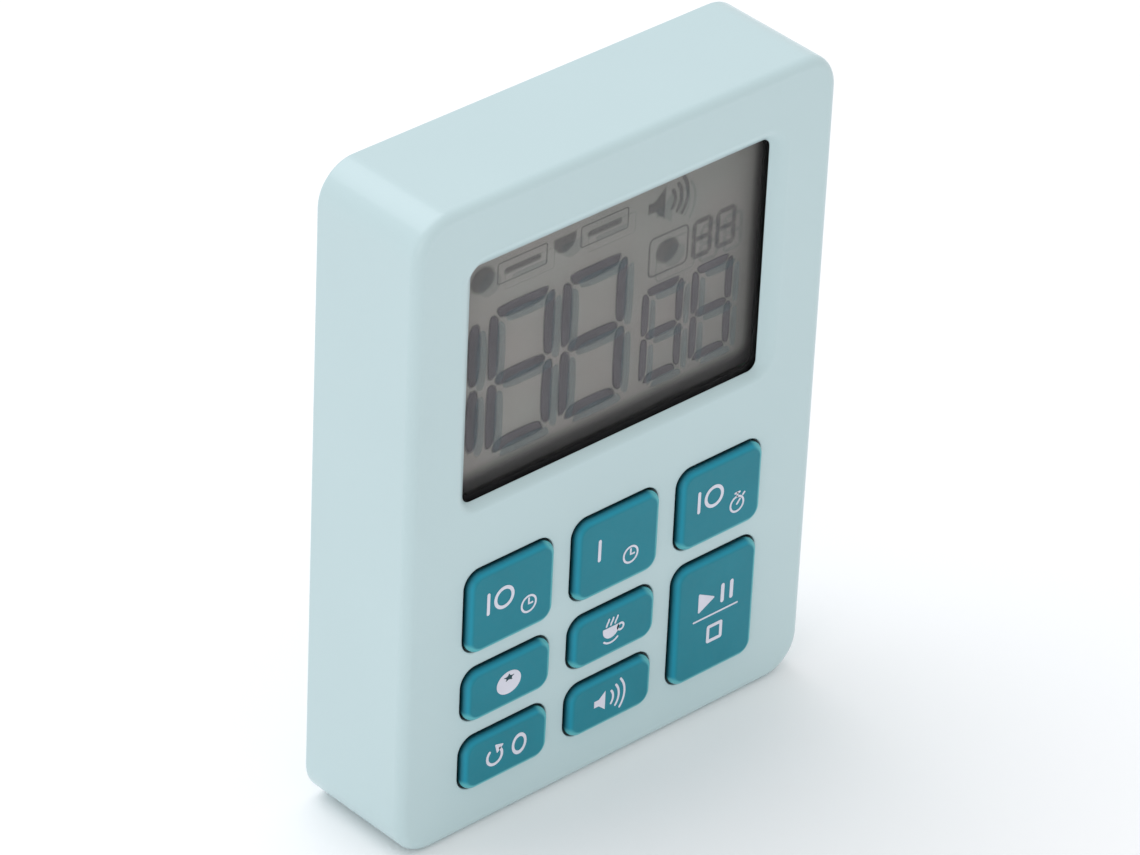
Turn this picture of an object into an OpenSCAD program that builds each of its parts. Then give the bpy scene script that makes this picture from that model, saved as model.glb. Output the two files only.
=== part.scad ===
// Digital kitchen timer: a shallow moulded case with a liquid crystal display, eight soft
// keys on one silicone keypad, a circuit board, a piezo sounder and two AAA cells.
// X runs to the right, the front faces -Y and Z is up. The origin is the middle of the
// bounding box, at the bottom. "Depth" means millimetres behind the flat front face.

/* [Case] */
// Width of the case
case_w = 70.4; // [70:0.2:78]
// Height of the case
case_h = 95; // [95:0.5:104]
// Depth of the case from the front face to the back
case_d = 18.6; // [18.6:0.1:24]
// Radius of the four corners seen from the front
corner_r = 5.6; // [5:0.1:8]
// Rounding of the edge around the front face
edge_r = 1.4; // [0.6:0.1:1.8]
// Thickness of the front wall
front_wall = 2; // [2:0.1:2.4]
// Thickness of the side walls
side_wall = 1.8; // [1.6:0.1:2.4]

/* [Display] */
// Width of the window opening where it meets the front face
window_w = 53.4; // [48:0.2:54]
// Height of the window opening where it meets the front face
window_h = 36.2; // [32:0.2:37]
// Height of the lower edge of the window above the base
window_z = 49.7; // [49.5:0.1:54]
// Depth of the sloping rim around the window
rim_depth = 1; // [0.4:0.1:1]
// Thickness of the clear window
lens_t = 0.8; // [0.5:0.1:0.8]

/* [Keys] */
// Distance between the middles of two key columns
key_pitch = 18.1; // [17.8:0.1:19]
// Width of every key
key_w = 14.45; // [12:0.05:15]
// How far a key stands out of the front face
key_proud = 1; // [0.6:0.1:1.2]
// How far a key travels when it is pressed home
key_travel = 0.9; // [0.5:0.1:0.9]
// Gap between a key and the edge of its hole
key_gap = 0.2; // [0.2:0.05:0.4]

/* [Power] */
// Diameter of an AAA cell
cell_dia = 10.5; // [10:0.1:10.5]
// Length of an AAA cell with its terminal
cell_len = 44.5; // [43.5:0.1:44.5]

/* [Hidden] */
$fn = 48;

// Colours
case_tint = [0.75, 0.84, 0.85];
key_tint = [0.16, 0.47, 0.55];
carbon = [0.1, 0.1, 0.11];
tin = [0.78, 0.78, 0.76];
board_green = [0.1, 0.36, 0.22];

// Depth zero, the flat front face, in Y: the keys stand out in front of it
front_y = -(case_d + key_proud) / 2 + key_proud;

// Case
side_x = case_w / 2;
plug_gap = 0.15;
rim_wall = 1.1;
plate_t = 2;
plate_depth = case_d - plate_t;
cover_inset = rim_wall + plug_gap;
corner_inset = 4.8;
screw_x = side_x - corner_inset;
screw_low_z = corner_inset;
screw_high_z = case_h - corner_inset;
boss_r = 2.4;
boss_end = case_d - 4.1;
seat_depth = case_d - 2.2;
case_screw_r = 1;
case_screw_bore = 1.05;
case_screw_tip = 8.4;
case_head_r = 1.8;
case_head_t = 1.4;

// Window: the rim slopes in to a straight edge, and the lens sits behind it
rim_side = 2.3;
rim_end = 1.1;
glass_w = window_w - 2 * rim_side;
glass_h = window_h - 2 * rim_end;
glass_z = window_z + rim_end;
lens_seat = rim_depth + 0.15;
tape_t = 0.15;
lens_front = lens_seat + tape_t;
lens_lap = 1.4;
gasket_t = 0.3;
gasket_front = lens_front + lens_t;

// Display module, from the front: polariser, glass, glass, polariser with its reflector
film_t = 0.2;
plate_glass_t = 0.7;
lcd_front = gasket_front + gasket_t;
lcd_w = 55;
lcd_top = 86.9;
lcd_bottom = 49.8;
ledge_h = 3.2;
clamp_front = lcd_front + 2 * film_t + 2 * plate_glass_t;
clamp_t = 1;
post_x = 30.6;
post_z = [54, 84];
post_r = 0.9;

// Keys, as [middle x, lower z, upper z]
ten_minutes_at = [-key_pitch, 28.35, 40.55];
one_minute_at = [0, 28.35, 40.55];
ten_seconds_at = [key_pitch, 28.35, 40.55];
tomato_at = [-key_pitch, 17.75, 25.55];
cup_at = [0, 17.75, 25.55];
clear_at = [-key_pitch, 7.05, 14.9];
volume_at = [0, 7.05, 14.9];
start_stop_at = [key_pitch, 7.05, 25.55];
KEY_PLACES = [
  ten_minutes_at, one_minute_at, ten_seconds_at, tomato_at, cup_at, clear_at, volume_at,
  start_stop_at
];
key_r = 2.2;
key_round = 0.95;
flange_gap = 0.2;
flange_t = 0.8;
flange_out = 0.6;
flange_front = front_wall + flange_gap;
flange_back = flange_front + flange_t;
hub_in = 3.4;
pill_t = 0.35;
pill_r = 2;
board_front = 6;
web_t = 1;
web_front = board_front - web_t;
pill_back = board_front - key_travel - 0.1;
pill_front = pill_back - pill_t;
skirt_wall = 0.45;
skirt_top_in = 0.9;
skirt_foot_out = 0.35;

// Circuit board
board_t = 1.2;
board_back = board_front + board_t;
board_w = 64.8;
board_top = 51;
board_step_z = 8.2;
board_screw_x = 29.6;
board_screw_z = [14, 43.5];
board_screw_r = 0.75;
board_boss_r = 2;
board_head_r = 1.6;
board_head_t = 1.1;

// Battery bay
cell_r = cell_dia / 2;
cell_gap = 0.7;
bay_z = 71.3;
cell_rise = (cell_dia + cell_gap) / 2;
door_t = 1.2;
door_front = case_d - door_t;
cell_depth = door_front - 0.1 - cell_r;
bay_half_w = (cell_len + 5.1) / 2;
bay_half_h = cell_rise + cell_r + 0.5;
bay_wall = 1.2;
bay_floor = cell_depth - cell_r - 0.3;
contact_t = 0.4;
spring_len = 2 * (bay_half_w - contact_t) - cell_len;
nub_len = 1;
door_lap = 2.6;
door_gap = 0.2;

// Sounder
buzzer_z = 27;
buzzer_r = 10;
buzzer_depth = plate_depth - 2.4;
sound_hole_r = 0.9;
sound_ring_r = 3.4;

// Wires: each route runs through these points, as [x, depth, z]
wire_r = 0.5;
red_route = [
  [27.7, 10, 77.6], [28.4, 10, 75.6], [29, 10.5, 70], [29, 11, 62], [28.4, 11, 55],
  [26.5, 10.5, 50], [25, 9.2, 47.6], [25, 7.7, 47.4]
];
black_route = [
  [27.7, 10, 65.2], [28.1, 10, 62.6], [27.2, 11.2, 57], [25, 11.8, 52], [22, 11, 48],
  [20.5, 9.2, 46.4], [20.5, 7.7, 46.2]
];
disc_route = [
  [-7.8, 13.6, 27], [-10, 12, 28.5], [-12.5, 10.5, 32], [-14, 9.5, 35.5], [-14, 7.7, 36]
];
ceramic_route = [
  [-3, 13.4, 28], [-4.5, 11.4, 30.5], [-7.5, 10.2, 34.5], [-10.4, 9.4, 36.6], [-10.8, 7.7, 37]
];

// Places a shape drawn in X and Z, with its height running backwards from a depth
module at_depth(depth) {
  translate([0, front_y + depth, 0])
    rotate([-90, 0, 0])
      mirror([0, 1, 0])
        children();
}

// A rectangle with round corners, its middle at x = mid and its lower edge at z = low
module round_rect(mid, low, w, h, r) {
  translate([mid, low]) {
    translate([-w / 2 + r, 0])
      square([w - 2 * r, h]);
    translate([-w / 2, r])
      square([w, h - 2 * r]);
    for (x = [-w / 2 + r, w / 2 - r], z = [r, h - r])
      translate([x, z])
        circle(r);
  }
}

// A block with round corners between two depths
module slab(mid, low, w, h, r, from, to) {
  at_depth(from)
    linear_extrude(to - from)
      round_rect(mid, low, w, h, r);
}

// A plain box between two depths
module bar(x0, x1, z0, z1, from, to) {
  translate([x0, front_y + from, z0])
    cube([x1 - x0, to - from, z1 - z0]);
}

// A cylinder that runs backwards between two depths
module rod(x, z, r, from, to) {
  at_depth(from)
    translate([x, z, 0])
      cylinder(r = r, h = to - from);
}

// Section of a wall that ends in a quarter round: half width w, height h, rounding r. The
// height is at least twice the rounding.
module rounded_section(w, h, r) {
  square([w - r, h]);
  square([w, h - r]);
  translate([w - r, h - r])
    circle(r);
}

// A block whose front edge is rounded all the way round, corners included
module soft_slab(mid, low, w, h, r, soft, from, to) {
  deep = to - from;
  at_depth(to)
    mirror([0, 0, 1])
      translate([mid, low]) {
        for (x = [-w / 2 + r, w / 2 - r], z = [r, h - r])
          translate([x, z, 0])
            rotate_extrude()
              rounded_section(r, deep, soft);
        translate([-w / 2 + r, h / 2, 0])
          rotate([90, 0, 90])
            linear_extrude(w - 2 * r)
              both_ways() rounded_section(h / 2, deep, soft);
        translate([0, h - r, 0])
          rotate([90, 0, 0])
            linear_extrude(h - 2 * r)
              both_ways() rounded_section(w / 2, deep, soft);
      }
}

module both_ways() {
  children();
  mirror([1, 0])
    children();
}

// Puts a copy at each case screw
module at_case_screws() {
  for (x = [-screw_x, screw_x], z = [screw_low_z, screw_high_z])
    translate([x, 0, z])
      children();
}

// Puts a copy at each circuit board screw
module at_board_screws() {
  for (x = [-board_screw_x, board_screw_x], z = board_screw_z)
    translate([x, 0, z])
      children();
}

// Puts a copy at each post that holds the display clamp
module at_posts() {
  for (x = [-post_x, post_x], z = post_z)
    translate([x, 0, z])
      children();
}

// The sloping rim of the window, cut from the front face
module window_cut() {
  at_depth(-0.01)
    hull() {
      linear_extrude(0.01)
        round_rect(0, window_z, window_w, window_h, 3.4);
      translate([0, 0, rim_depth])
        linear_extrude(0.01)
          round_rect(0, glass_z, glass_w, glass_h, 1.8);
    }
  slab(0, glass_z, glass_w, glass_h, 1.8, rim_depth - 0.01, front_wall + 1);
}

module front_case() {
  color(case_tint)
    difference() {
      union() {
        difference() {
          soft_slab(0, 0, case_w, case_h, corner_r, edge_r, 0, case_d);
          slab(
            0, side_wall, case_w - 2 * side_wall, case_h - 2 * side_wall,
            corner_r - side_wall, front_wall, case_d + 1
          );
          slab(
            0, rim_wall, case_w - 2 * rim_wall, case_h - 2 * rim_wall,
            corner_r - rim_wall, plate_depth, case_d + 1
          );
        }
        at_case_screws()
          rod(0, 0, boss_r, front_wall - 0.5, boss_end);
        at_board_screws()
          rod(0, 0, board_boss_r, front_wall - 0.5, board_front);
        at_posts()
          rod(0, 0, post_r, front_wall - 0.5, clamp_front + clamp_t + 0.4);
      }
      window_cut();
      slab(
        0, glass_z - lens_lap - 0.2, glass_w + 2 * lens_lap + 0.4,
        glass_h + 2 * lens_lap + 0.4, 2, lens_seat, front_wall + 0.01
      );
      for (k = KEY_PLACES)
        slab(
          k[0], k[1] - key_gap, key_w + 2 * key_gap, k[2] - k[1] + 2 * key_gap,
          key_r + key_gap, -1, front_wall + 1
        );
      at_case_screws()
        rod(0, 0, case_screw_bore, case_screw_tip - 0.5, boss_end + 1);
      at_board_screws()
        rod(0, 0, board_screw_r + 0.05, 2.6, board_front + 1);
    }
}

module rear_cover() {
  bay_out_w = bay_half_w + bay_wall;
  bay_out_h = bay_half_h + bay_wall;
  color(case_tint)
    difference() {
      union() {
        slab(
          0, cover_inset, case_w - 2 * cover_inset, case_h - 2 * cover_inset,
          corner_r - cover_inset, plate_depth, case_d
        );
        slab(
          0, bay_z - bay_out_h, 2 * bay_out_w, 2 * bay_out_h, 1, bay_floor - bay_wall,
          plate_depth + 0.5
        );
        at_case_screws()
          rod(0, 0, boss_r, boss_end + 0.1, plate_depth + 0.5);
        rod(0, buzzer_z, buzzer_r + 1.4, buzzer_depth - 1, plate_depth + 0.5);
      }
      // The bay, open at the back
      bar(
        -bay_half_w, bay_half_w, bay_z - bay_half_h, bay_z + bay_half_h, bay_floor,
        case_d + 1
      );
      // The recess that the door lies in
      slab(
        0, bay_z - bay_half_h - door_lap, 2 * (bay_half_w + door_lap),
        2 * (bay_half_h + door_lap), 2, door_front - 0.05, case_d + 1
      );
      // The finger notch above the door's latch
      at_depth(door_front + 0.2)
        translate([0, bay_z + bay_half_h + door_lap, 0])
          cylinder(r = 5, h = door_t);
      // Slots that the contact tabs pass through
      for (z = [bay_z - cell_rise, bay_z + cell_rise])
        bar(bay_half_w - 1, bay_half_w + bay_wall + 1, z - 1.6, z + 1.6, 9.2, 10.8);
      // The sounder's seat and its chamber
      rod(0, buzzer_z, buzzer_r + 0.1, buzzer_depth - 2, buzzer_depth + 0.3);
      rod(0, buzzer_z, buzzer_r - 0.8, buzzer_depth, plate_depth);
      rod(0, buzzer_z, sound_hole_r, plate_depth - 1, case_d + 1);
      for (a = [0:60:300])
        rod(
          sound_ring_r * cos(a), buzzer_z + sound_ring_r * sin(a), sound_hole_r,
          plate_depth - 1, case_d + 1
        );
      at_case_screws() {
        rod(0, 0, case_screw_r + 0.15, boss_end - 1, case_d + 1);
        rod(0, 0, case_head_r + 0.2, seat_depth, case_d + 1);
      }
    }
}

module battery_door() {
  door_w = 2 * (bay_half_w + door_lap - door_gap);
  door_h = 2 * (bay_half_h + door_lap - door_gap);
  door_z = bay_z - door_h / 2;
  door_top = door_z + door_h;
  rib_z = bay_half_h - 0.9;
  color(case_tint)
    difference() {
      union() {
        slab(0, door_z, door_w, door_h, 1.8, door_front, case_d);
        for (s = [-1, 1])
          bar(
            -20, 20, bay_z + s * rib_z - 0.5, bay_z + s * rib_z + 0.5, door_front - 1.8,
            door_front + 0.1
          );
      }
      // The latch tongue is freed by a slot on each side
      for (x = [-6.3, 5.7])
        bar(x, x + 0.6, door_top - 8, door_top + 1, door_front - 0.01, case_d + 1);
      // Grip grooves and an arrow that points to the latch
      for (z = [2:1.2:5.6])
        bar(-4.5, 4.5, door_top - z - 0.5, door_top - z, case_d - 0.4, case_d + 1);
      at_depth(case_d - 0.3)
        linear_extrude(1)
          polygon([[-3, door_top - 14], [3, door_top - 14], [0, door_top - 10]]);
    }
}

module display_lens() {
  color([0.8, 0.85, 0.88, 0.3])
    slab(
      0, glass_z - lens_lap, glass_w + 2 * lens_lap, glass_h + 2 * lens_lap, 1.8,
      lens_front, lens_front + lens_t
    );
}

// A flat ring around the window, lapping each side by its own amount
module ring(out, in_w, in_low, in_high, r, from, to) {
  difference() {
    slab(0, glass_z - out, glass_w + 2 * out, glass_h + 2 * out, r, from, to);
    bar(-in_w, in_w, in_low, in_high, from - 1, to + 1);
  }
}

module lens_tape() {
  color(carbon)
    ring(
      lens_lap, glass_w / 2 + 0.15, glass_z - 0.15, glass_z + glass_h + 0.15, 1.8,
      lens_seat, lens_front
    );
}

module display_gasket() {
  color(carbon)
    ring(
      2.6, glass_w / 2 + 0.1, glass_z + 0.6, glass_z + glass_h + 0.1, 1,
      gasket_front, lcd_front
    );
}

// A plate of the display module
module lcd_plate(inset, low, depth, thick) {
  bar(-lcd_w / 2 + inset, lcd_w / 2 - inset, low, lcd_top - inset, depth, depth + thick);
}

module front_polariser() {
  color([0.55, 0.56, 0.52, 0.6])
    lcd_plate(0.6, lcd_bottom + 0.2, lcd_front, film_t);
}

module lcd_front_glass() {
  color([0.8, 0.85, 0.82, 0.4])
    lcd_plate(0, lcd_bottom - ledge_h, lcd_front + film_t, plate_glass_t);
}

module lcd_rear_glass() {
  color([0.8, 0.85, 0.82, 0.4])
    lcd_plate(0, lcd_bottom, lcd_front + film_t + plate_glass_t, plate_glass_t);
}

module rear_polariser() {
  color([0.5, 0.48, 0.46])
    lcd_plate(0.6, lcd_bottom + 0.4, clamp_front - film_t, film_t);
}

module display_clamp() {
  color([0.88, 0.88, 0.86])
    difference() {
      union() {
        bar(-28.5, 28.5, lcd_bottom + 0.1, lcd_top + 0.9, clamp_front, clamp_front + clamp_t);
        for (z = post_z)
          slab(0, z - 2, 2 * post_x + 3.4, 4, 1, clamp_front, clamp_front + clamp_t);
        for (s = [-1, 1])
          bar(
            s * 28.1 - 0.4, s * 28.1 + 0.4, lcd_bottom + 1, lcd_top + 0.9, lcd_front,
            clamp_front + 0.1
          );
        bar(-28.5, 28.5, lcd_top + 0.2, lcd_top + 0.9, lcd_front, clamp_front + 0.1);
      }
      at_posts()
        rod(0, 0, post_r + 0.1, clamp_front - 1, clamp_front + clamp_t + 1);
    }
}

module zebra_connector() {
  low = lcd_bottom - ledge_h + 0.4;
  color([0.85, 0.6, 0.62])
    bar(-25, 25, low, low + 2.1, lcd_front + film_t + plate_glass_t, board_front);
}

module circuit_board() {
  color(board_green)
    difference() {
      union() {
        bar(
          -board_w / 2, board_w / 2, board_step_z, board_top, board_front, board_back
        );
        bar(-26.6, 26.6, 3.4, board_step_z + 1, board_front, board_back);
      }
      at_board_screws()
        rod(0, 0, board_screw_r + 0.25, board_front - 1, board_back + 1);
    }
}

// The drop of black resin that covers the bare chip
module chip_blob() {
  color(carbon)
    at_depth(board_back)
      translate([10, 38, 0])
        rotate_extrude()
          rounded_section(6, 1.5, 0.75);
}

module crystal_can() {
  color(tin)
    translate([-6, front_y + board_back + 1.05, 45])
      rotate([0, 90, 0])
        cylinder(r = 1, h = 6);
}

module chip_capacitors() {
  color([0.62, 0.5, 0.36])
    for (x = [-24, -20.5, 18.6], z = [30, 40])
      bar(x - 0.8, x + 0.8, z - 0.4, z + 0.4, board_back, board_back + 0.8);
}

module chip_resistors() {
  color(carbon)
    for (x = [-24, -20.5, -17, 22], z = [24, 34.5])
      bar(x - 0.8, x + 0.8, z - 0.4, z + 0.4, board_back, board_back + 0.45);
}

module buzzer_disc() {
  color([0.8, 0.65, 0.3])
    rod(0, buzzer_z, buzzer_r, buzzer_depth + 0.05, buzzer_depth + 0.3);
}

module buzzer_ceramic() {
  color([0.9, 0.88, 0.82])
    rod(0, buzzer_z, 7.2, buzzer_depth - 0.15, buzzer_depth + 0.05);
}

// A cell with its terminal pointing towards +X
module cell() {
  body_len = cell_len - nub_len;
  rotate([0, 90, 0]) {
    cylinder(r = cell_r, h = body_len);
    cylinder(r = 1.9, h = cell_len);
  }
}

module battery_upper() {
  color([0.3, 0.34, 0.4])
    translate([
      bay_half_w - contact_t - cell_len, front_y + cell_depth, bay_z + cell_rise
    ])
      cell();
}

module battery_lower() {
  color([0.3, 0.34, 0.4])
    translate([
      -(bay_half_w - contact_t - cell_len), front_y + cell_depth, bay_z - cell_rise
    ])
      mirror([1, 0, 0])
        cell();
}

// The plate of a contact against the bay's wall on side s, around height z
module contact_plate(s, z0, z1) {
  face = s * (bay_half_w - contact_t / 2);
  bar(
    face - contact_t / 2, face + contact_t / 2, z0, z1, cell_depth - 3.8, cell_depth + 3.8
  );
}

// The tab that carries a contact out through the bay's wall
module contact_tab(z) {
  bar(bay_half_w - contact_t, bay_half_w + bay_wall + 1, z - 1.2, z + 1.2, 9.8, 10.2);
}

// A point on a contact spring's coil after a turns, from the plate to the cell
function coil_point(s, z, a) =
  let (grow = 3.4 - 0.35 * a)
  [
    s * (bay_half_w - contact_t - 0.3 - a * (spring_len - 0.65) / 3.5),
    cell_depth + grow * cos(360 * a),
    z + grow * sin(360 * a)
  ];

module contact_spring(s, z) {
  tube([for (i = [0:56]) coil_point(s, z, i / 16)], 0.3, [1, 0, 0], 8);
}

module positive_contact() {
  z = bay_z + cell_rise;
  color(tin) {
    contact_plate(1, z - 4.2, z + 4.2);
    contact_tab(z);
  }
}

module negative_contact() {
  z = bay_z - cell_rise;
  color(tin) {
    contact_plate(1, z - 4.2, z + 4.2);
    contact_tab(z);
    contact_spring(1, z);
  }
}

module link_contact() {
  color(tin) {
    contact_plate(-1, bay_z - cell_rise - 4.2, bay_z + cell_rise + 4.2);
    contact_spring(-1, bay_z + cell_rise);
  }
}

// A point on the smooth curve through points p, between number i and the next
function blend_point(p, i, t) =
  let (
    last = len(p) - 1,
    a = p[max(i - 1, 0)],
    b = p[i],
    c = p[min(i + 1, last)],
    d = p[min(i + 2, last)]
  )
  0.5 * (2 * b + (c - a) * t + (2 * a - 5 * b + 4 * c - d) * t * t
    + (3 * b - a - 3 * c + d) * t * t * t);

function smooth(p, steps) = [
  for (i = [0:len(p) - 2], k = [0:steps - 1]) blend_point(p, i, k / steps),
  p[len(p) - 1]
];

function unit(v) = v / norm(v);

// The direction of a path at point number i
function heading(p, i) = unit(p[min(i + 1, len(p) - 1)] - p[max(i - 1, 0)]);

// The ring of points round a path at point number i
function hoop(p, i, r, side, sides) =
  let (
    t = heading(p, i),
    u = unit(cross(t, side)),
    v = cross(t, u)
  )
  [for (k = [0:sides - 1]) p[i] + r * (cos(360 * k / sides) * u + sin(360 * k / sides) * v)];

// A round tube along a path given as [x, depth, z] points. No part of it runs along side.
module tube(path, r, side, sides) {
  count = len(path);
  skin = [
    for (i = [0:count - 1], k = [0:sides - 1])
      for (ahead = [(k + 1) % sides])
        if (i < count - 1)
          [i * sides + k, (i + 1) * sides + k, (i + 1) * sides + ahead, i * sides + ahead]
  ];
  start = [for (k = [0:sides - 1]) k];
  finish = [for (k = [sides - 1:-1:0]) (count - 1) * sides + k];
  translate([0, front_y, 0])
    polyhedron(
      points = [for (i = [0:count - 1]) each hoop(path, i, r, side, sides)],
      faces = concat([start, finish], skin)
    );
}

module wire(route) {
  tube(smooth(route, 5), wire_r, [1, 0, 0], 8);
}

module battery_wire_red() {
  color([0.75, 0.12, 0.1])
    wire(red_route);
}

module battery_wire_black() {
  color(carbon)
    wire(black_route);
}

module buzzer_wires() {
  color([0.75, 0.12, 0.1]) {
    wire(disc_route);
    wire(ceramic_route);
  }
}

// A pan head with a cross slot on a plain shank, its head behind the seat
module screw(head_r, head_t, shank_r, tip, seat) {
  slot = head_r * 1.1;
  difference() {
    union() {
      rod(0, 0, head_r, seat, seat + head_t);
      rod(0, 0, shank_r, tip, seat + 0.1);
    }
    for (a = [0, 1])
      bar(
        a == 0 ? -slot / 2 : -0.22, a == 0 ? slot / 2 : 0.22, a == 0 ? -0.22 : -slot / 2,
        a == 0 ? 0.22 : slot / 2, seat + head_t - 0.6, seat + head_t + 1
      );
  }
}

module board_screws() {
  color(tin)
    at_board_screws()
      screw(board_head_r, board_head_t, board_screw_r, 3, board_back);
}

module case_screws() {
  color(tin)
    at_case_screws()
      screw(case_head_r, case_head_t, case_screw_r, case_screw_tip, seat_depth);
}

module keypad_web() {
  color(key_tint)
    difference() {
      slab(0, 4.4, 53.6, 39.2, 2, web_front, board_front);
      for (k = KEY_PLACES)
        slab(
          k[0], k[1] + skirt_wall - skirt_foot_out,
          key_w + 2 * (skirt_foot_out - skirt_wall),
          k[2] - k[1] + 2 * (skirt_foot_out - skirt_wall), 1.6, web_front - 1,
          board_front + 1
        );
    }
}

// A key: its cap, the flange that keeps it behind the front wall, and the hub under it
module key(at) {
  h = at[2] - at[1];
  color(key_tint) {
    soft_slab(at[0], at[1], key_w, h, key_r, key_round, -key_proud, flange_back);
    slab(
      at[0], at[1] - flange_out, key_w + 2 * flange_out, h + 2 * flange_out,
      key_r + flange_out, flange_front, flange_back
    );
    slab(
      at[0], at[1] + hub_in / 2, key_w - hub_in, h - hub_in, 1, flange_back - 0.1,
      pill_front
    );
  }
}

// The thin soft wall from the back of a key's flange down to the web
module skirt(at) {
  color(key_tint)
    difference() {
      skirt_shape(at, 0, 0);
      skirt_shape(at, skirt_wall, 0.01);
    }
}

// The skirt's outline, drawn in by a wall's thickness and longer at both ends
module skirt_shape(at, wall, extra) {
  top = skirt_top_in + wall;
  foot = wall - skirt_foot_out;
  h = at[2] - at[1];
  hull() {
    slab(
      at[0], at[1] + top, key_w - 2 * top, h - 2 * top, 1, flange_back - extra,
      flange_back + 0.01, $fn = 32
    );
    slab(
      at[0], at[1] + foot, key_w - 2 * foot, h - 2 * foot, 1.6, web_front - 0.01,
      web_front + extra, $fn = 32
    );
  }
}

// The carbon pills under a key that close its contacts: two on the tall key
module pill(at) {
  middle = (at[1] + at[2]) / 2;
  tall = at[2] - at[1] > 15;
  color(carbon)
    for (z = tall ? [middle - 4, middle + 4] : [middle])
      rod(at[0], z, pill_r, pill_front, pill_back);
}

module key_ten_minutes() { key(ten_minutes_at); }
module key_one_minute() { key(one_minute_at); }
module key_ten_seconds() { key(ten_seconds_at); }
module key_tomato() { key(tomato_at); }
module key_cup() { key(cup_at); }
module key_clear() { key(clear_at); }
module key_volume() { key(volume_at); }
module key_start_stop() { key(start_stop_at); }
module skirt_ten_minutes() { skirt(ten_minutes_at); }
module skirt_one_minute() { skirt(one_minute_at); }
module skirt_ten_seconds() { skirt(ten_seconds_at); }
module skirt_tomato() { skirt(tomato_at); }
module skirt_cup() { skirt(cup_at); }
module skirt_clear() { skirt(clear_at); }
module skirt_volume() { skirt(volume_at); }
module skirt_start_stop() { skirt(start_stop_at); }
module pill_ten_minutes() { pill(ten_minutes_at); }
module pill_one_minute() { pill(one_minute_at); }
module pill_ten_seconds() { pill(ten_seconds_at); }
module pill_tomato() { pill(tomato_at); }
module pill_cup() { pill(cup_at); }
module pill_clear() { pill(clear_at); }
module pill_volume() { pill(volume_at); }
module pill_start_stop() { pill(start_stop_at); }

front_case();
rear_cover();
battery_door();
display_lens();
lens_tape();
display_gasket();
front_polariser();
lcd_front_glass();
lcd_rear_glass();
rear_polariser();
display_clamp();
zebra_connector();
circuit_board();
chip_blob();
crystal_can();
chip_capacitors();
chip_resistors();
buzzer_disc();
buzzer_ceramic();
battery_upper();
battery_lower();
positive_contact();
negative_contact();
link_contact();
battery_wire_red();
battery_wire_black();
buzzer_wires();
board_screws();
case_screws();
keypad_web();
key_ten_minutes();
key_one_minute();
key_ten_seconds();
key_tomato();
key_cup();
key_clear();
key_volume();
key_start_stop();
skirt_ten_minutes();
skirt_one_minute();
skirt_ten_seconds();
skirt_tomato();
skirt_cup();
skirt_clear();
skirt_volume();
skirt_start_stop();
pill_ten_minutes();
pill_one_minute();
pill_ten_seconds();
pill_tomato();
pill_cup();
pill_clear();
pill_volume();
pill_start_stop();
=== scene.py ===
"""Looks of the digital kitchen timer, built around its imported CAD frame.

Shapes are worked out in millimetres as (x, depth, z), where depth is how far a point lies
behind the flat front face, and become metres in the frame when a piece is made.
"""

from math import cos, pi, radians, sin

import bmesh
import bpy
from mathutils import Matrix, Vector
from mathutils.geometry import delaunay_2d_cdt


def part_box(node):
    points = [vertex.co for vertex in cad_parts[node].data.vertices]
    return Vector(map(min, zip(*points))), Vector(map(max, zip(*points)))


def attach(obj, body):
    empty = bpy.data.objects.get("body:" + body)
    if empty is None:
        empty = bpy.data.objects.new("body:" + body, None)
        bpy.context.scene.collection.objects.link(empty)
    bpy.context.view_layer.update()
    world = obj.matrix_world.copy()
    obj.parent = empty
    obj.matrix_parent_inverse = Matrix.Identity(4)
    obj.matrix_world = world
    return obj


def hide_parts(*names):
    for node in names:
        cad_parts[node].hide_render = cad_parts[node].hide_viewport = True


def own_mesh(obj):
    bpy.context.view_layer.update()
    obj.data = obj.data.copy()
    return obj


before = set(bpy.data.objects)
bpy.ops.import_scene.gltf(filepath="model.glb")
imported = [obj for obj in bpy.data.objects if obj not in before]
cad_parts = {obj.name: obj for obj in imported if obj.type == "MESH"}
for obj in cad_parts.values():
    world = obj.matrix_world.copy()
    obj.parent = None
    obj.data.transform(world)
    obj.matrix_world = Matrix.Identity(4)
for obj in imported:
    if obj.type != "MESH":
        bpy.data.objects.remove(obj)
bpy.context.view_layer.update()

# ---------------------------------------------------------------------------------------
# Places and sizes
# ---------------------------------------------------------------------------------------
MM = 0.001
FRONT_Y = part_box("front_case")[0].y / MM


def span(node, grow=0.0):
    """A CAD node's box seen from the front, as (x0, x1, z0, z1), grown on all four sides."""
    low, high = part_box(node)
    return (low.x / MM - grow, high.x / MM + grow, low.z / MM - grow, high.z / MM + grow)


def depths(node):
    """The nearest and the farthest depth of a CAD node behind the front face."""
    low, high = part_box(node)
    return low.y / MM - FRONT_Y, high.y / MM - FRONT_Y


def middle(box):
    """The middle of a box seen from the front, as x and z."""
    return (box[0] + box[1]) / 2, (box[2] + box[3]) / 2


# Case
CASE = span("front_case")
BACK = depths("front_case")[1]
PLATE_DEPTH = BACK - 2.0
CORNER_R = 5.6
EDGE_R = 1.4
BACK_EDGE_R = 0.4
SHARP_ANGLE = 38
FRONT_WALL = 2.0
SIDE_WALL = 1.8
RIM_WALL = 1.1
SCREW_INSET = 4.8
SCREWS = [
    (x, z)
    for x in (CASE[0] + SCREW_INSET, CASE[1] - SCREW_INSET)
    for z in (CASE[2] + SCREW_INSET, CASE[3] - SCREW_INSET)
]
BOARD_SCREWS = [(x, z) for x in (-29.6, 29.6) for z in (14, 43.5)]
POSTS = [(x, z) for x in (-30.6, 30.6) for z in (54, 84)]

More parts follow.
